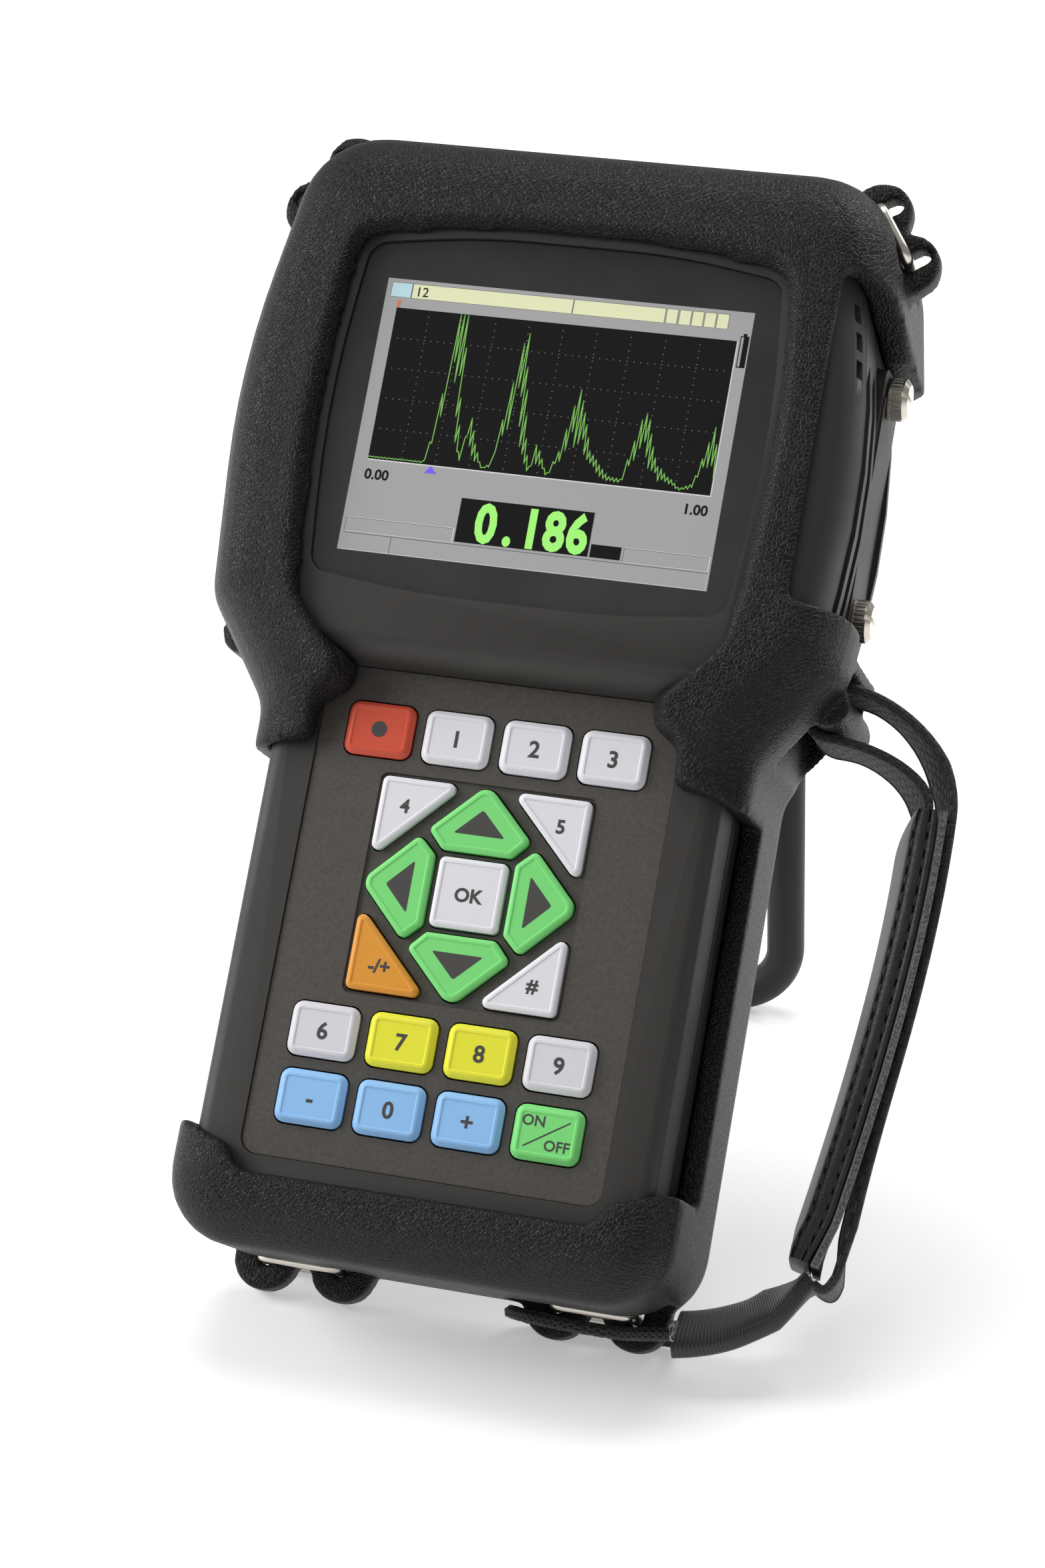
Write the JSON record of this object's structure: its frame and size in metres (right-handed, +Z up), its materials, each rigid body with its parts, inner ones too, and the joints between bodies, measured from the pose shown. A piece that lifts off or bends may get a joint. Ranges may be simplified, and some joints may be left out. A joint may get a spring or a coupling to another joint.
{
  "type": "ultrasonic thickness gauge",
  "caption": "Hand-held ultrasonic thickness gauge with colour display and keypad in a rubber boot with wire rings, hand strap and a folding rear stand",
  "frame": {"origin": "on the table straight below the middle of the display", "axes": "+X to the gauge's right, +Y to the back, +Z up; the face leans back by 37 degrees"},
  "size_m": [0.1551, 0.1743, 0.2103],
  "materials": {
    "case_plastic": "fine-grained moulded plastic",
    "seal_rubber": "soft seal",
    "steel": "turned steel",
    "window": "clear window with a printed dark border",
    "display": "lit display",
    "board": "circuit board lacquer",
    "black_plastic": "moulded",
    "battery_wrap": "shrink film",
    "overlay": "textured membrane",
    "key_red": "silicone key",
    "key_white": "silicone key",
    "key_orange": "silicone key",
    "key_green": "silicone key",
    "key_grey": "silicone key",
    "key_yellow": "silicone key",
    "key_blue": "silicone key",
    "door_plastic": "moulded",
    "nickel": "satin nickel plate",
    "boot_rubber": "leather-grained rubber",
    "stand_plastic": "moulded",
    "webbing": "woven webbing",
    "strap_leather": "stitched leather",
    "satin": "satin sleeve",
    "cord": "braided cord"
  },
  "bodies": {
    "gauge": {"front_housing": "case_plastic", "rear_housing": "case_plastic", "case_seal": "seal_rubber", "case_screws": "steel", "display_window": "window", "display_module": "display", "main_board": "board", "beeper": "black_plastic", "battery_pack": "battery_wrap", "battery_cover": "case_plastic", "battery_screws": "steel", "keypad_overlay": "overlay", "keypad_board": "board", "side_door": "door_plastic", "side_sockets": "steel", "probe_socket_left": "nickel", "probe_socket_right": "nickel", "power_socket": "black_plastic", "boot": "boot_rubber", "stand_bracket": "stand_plastic", "strap_webbing": "webbing", "strap_pad": "strap_leather", "strap_sleeve": "satin", "strap_cord": "cord"},
    "key_measure": {"key_measure": "key_red"},
    "key_number": {"key_number": "key_white"},
    "key_file": {"key_file": "key_white"},
    "key_second": {"key_second": "key_white"},
    "key_probe": {"key_probe": "key_grey"},
    "key_velocity": {"key_velocity": "key_yellow"},
    "key_zero": {"key_zero": "key_yellow"},
    "key_setup": {"key_setup": "key_grey"},
    "key_screen": {"key_screen": "key_blue"},
    "key_range": {"key_range": "key_blue"},
    "key_zoom": {"key_zoom": "key_blue"},
    "key_power": {"key_power": "key_green"},
    "key_save": {"key_save": "key_white"},
    "key_freeze": {"key_freeze": "key_white"},
    "key_gain": {"key_gain": "key_orange"},
    "key_wave": {"key_wave": "key_white"},
    "key_up": {"key_up": "key_green"},
    "key_down": {"key_down": "key_green"},
    "key_left": {"key_left": "key_green"},
    "key_right": {"key_right": "key_green"},
    "key_enter": {"key_enter": "key_white"},
    "stand": {"stand": "stand_plastic"},
    "door_screw_upper": {"door_screw_upper": "nickel"},
    "door_screw_lower": {"door_screw_lower": "nickel"},
    "ring_bottom_left": {"ring_bottom_left": "nickel"},
    "ring_top_left": {"ring_top_left": "nickel"},
    "ring_bottom_right": {"ring_bottom_right": "nickel"},
    "ring_top_right": {"ring_top_right": "nickel"}
  },
  "joints": [
    {"name": "key_measure_press", "type": "slide", "parent": "gauge", "child": "key_measure", "axis": [0, 0.7986, -0.6018], "range_m": [0, 0.0008], "stiffness_N_per_m": 900},
    {"name": "key_number_press", "type": "slide", "parent": "gauge", "child": "key_number", "axis": [0, 0.7986, -0.6018], "range_m": [0, 0.0008], "stiffness_N_per_m": 900},
    {"name": "key_file_press", "type": "slide", "parent": "gauge", "child": "key_file", "axis": [0, 0.7986, -0.6018], "range_m": [0, 0.0008], "stiffness_N_per_m": 900},
    {"name": "key_second_press", "type": "slide", "parent": "gauge", "child": "key_second", "axis": [0, 0.7986, -0.6018], "range_m": [0, 0.0008], "stiffness_N_per_m": 900},
    {"name": "key_probe_press", "type": "slide", "parent": "gauge", "child": "key_probe", "axis": [0, 0.7986, -0.6018], "range_m": [0, 0.0008], "stiffness_N_per_m": 900},
    {"name": "key_velocity_press", "type": "slide", "parent": "gauge", "child": "key_velocity", "axis": [0, 0.7986, -0.6018], "range_m": [0, 0.0008], "stiffness_N_per_m": 900},
    {"name": "key_zero_press", "type": "slide", "parent": "gauge", "child": "key_zero", "axis": [0, 0.7986, -0.6018], "range_m": [0, 0.0008], "stiffness_N_per_m": 900},
    {"name": "key_setup_press", "type": "slide", "parent": "gauge", "child": "key_setup", "axis": [0, 0.7986, -0.6018], "range_m": [0, 0.0008], "stiffness_N_per_m": 900},
    {"name": "key_screen_press", "type": "slide", "parent": "gauge", "child": "key_screen", "axis": [0, 0.7986, -0.6018], "range_m": [0, 0.0008], "stiffness_N_per_m": 900},
    {"name": "key_range_press", "type": "slide", "parent": "gauge", "child": "key_range", "axis": [0, 0.7986, -0.6018], "range_m": [0, 0.0008], "stiffness_N_per_m": 900},
    {"name": "key_zoom_press", "type": "slide", "parent": "gauge", "child": "key_zoom", "axis": [0, 0.7986, -0.6018], "range_m": [0, 0.0008], "stiffness_N_per_m": 900},
    {"name": "key_power_press", "type": "slide", "parent": "gauge", "child": "key_power", "axis": [0, 0.7986, -0.6018], "range_m": [0, 0.0008], "stiffness_N_per_m": 900},
    {"name": "key_save_press", "type": "slide", "parent": "gauge", "child": "key_save", "axis": [0, 0.7986, -0.6018], "range_m": [0, 0.0008], "stiffness_N_per_m": 900},
    {"name": "key_freeze_press", "type": "slide", "parent": "gauge", "child": "key_freeze", "axis": [0, 0.7986, -0.6018], "range_m": [0, 0.0008], "stiffness_N_per_m": 900},
    {"name": "key_gain_press", "type": "slide", "parent": "gauge", "child": "key_gain", "axis": [0, 0.7986, -0.6018], "range_m": [0, 0.0008], "stiffness_N_per_m": 900},
    {"name": "key_wave_press", "type": "slide", "parent": "gauge", "child": "key_wave", "axis": [0, 0.7986, -0.6018], "range_m": [0, 0.0008], "stiffness_N_per_m": 900},
    {"name": "key_up_press", "type": "slide", "parent": "gauge", "child": "key_up", "axis": [0, 0.7986, -0.6018], "range_m": [0, 0.0008], "stiffness_N_per_m": 900},
    {"name": "key_down_press", "type": "slide", "parent": "gauge", "child": "key_down", "axis": [0, 0.7986, -0.6018], "range_m": [0, 0.0008], "stiffness_N_per_m": 900},
    {"name": "key_left_press", "type": "slide", "parent": "gauge", "child": "key_left", "axis": [0, 0.7986, -0.6018], "range_m": [0, 0.0008], "stiffness_N_per_m": 900},
    {"name": "key_right_press", "type": "slide", "parent": "gauge", "child": "key_right", "axis": [0, 0.7986, -0.6018], "range_m": [0, 0.0008], "stiffness_N_per_m": 900},
    {"name": "key_enter_press", "type": "slide", "parent": "gauge", "child": "key_enter", "axis": [0, 0.7986, -0.6018], "range_m": [0, 0.0008], "stiffness_N_per_m": 900},
    {"name": "stand_fold", "type": "hinge", "parent": "gauge", "child": "stand", "pos_m": [0, 0.06278, 0.15563], "axis": [1, 0, 0], "range_deg": [-42, 0]},
    {"name": "door_screw_upper_turn", "type": "hinge", "parent": "gauge", "child": "door_screw_upper", "pos_m": [0.063, 0.03514, 0.16631], "axis": [1, 0, 0], "continuous": true},
    {"name": "door_screw_lower_turn", "type": "hinge", "parent": "gauge", "child": "door_screw_lower", "pos_m": [0.063, 0.00758, 0.12974], "axis": [1, 0, 0], "continuous": true},
    {"name": "ring_bottom_left_swing", "type": "hinge", "parent": "gauge", "child": "ring_bottom_left", "pos_m": [-0.0305, -0.06851, 0.01065], "axis": [1, 0, 0], "range_deg": [0, 14]},
    {"name": "ring_top_left_swing", "type": "hinge", "parent": "gauge", "child": "ring_top_left", "pos_m": [-0.0589, 0.042, 0.19884], "axis": [0.5736, 0.493, 0.6542], "range_deg": [0, 14]},
    {"name": "ring_bottom_right_swing", "type": "hinge", "parent": "gauge", "child": "ring_bottom_right", "pos_m": [0.0305, -0.06851, 0.01065], "axis": [1, 0, 0], "range_deg": [0, 14]},
    {"name": "ring_top_right_swing", "type": "hinge", "parent": "gauge", "child": "ring_top_right", "pos_m": [0.0589, 0.042, 0.19884], "axis": [0.5736, -0.493, -0.6542], "range_deg": [0, 14]}
  ]
}
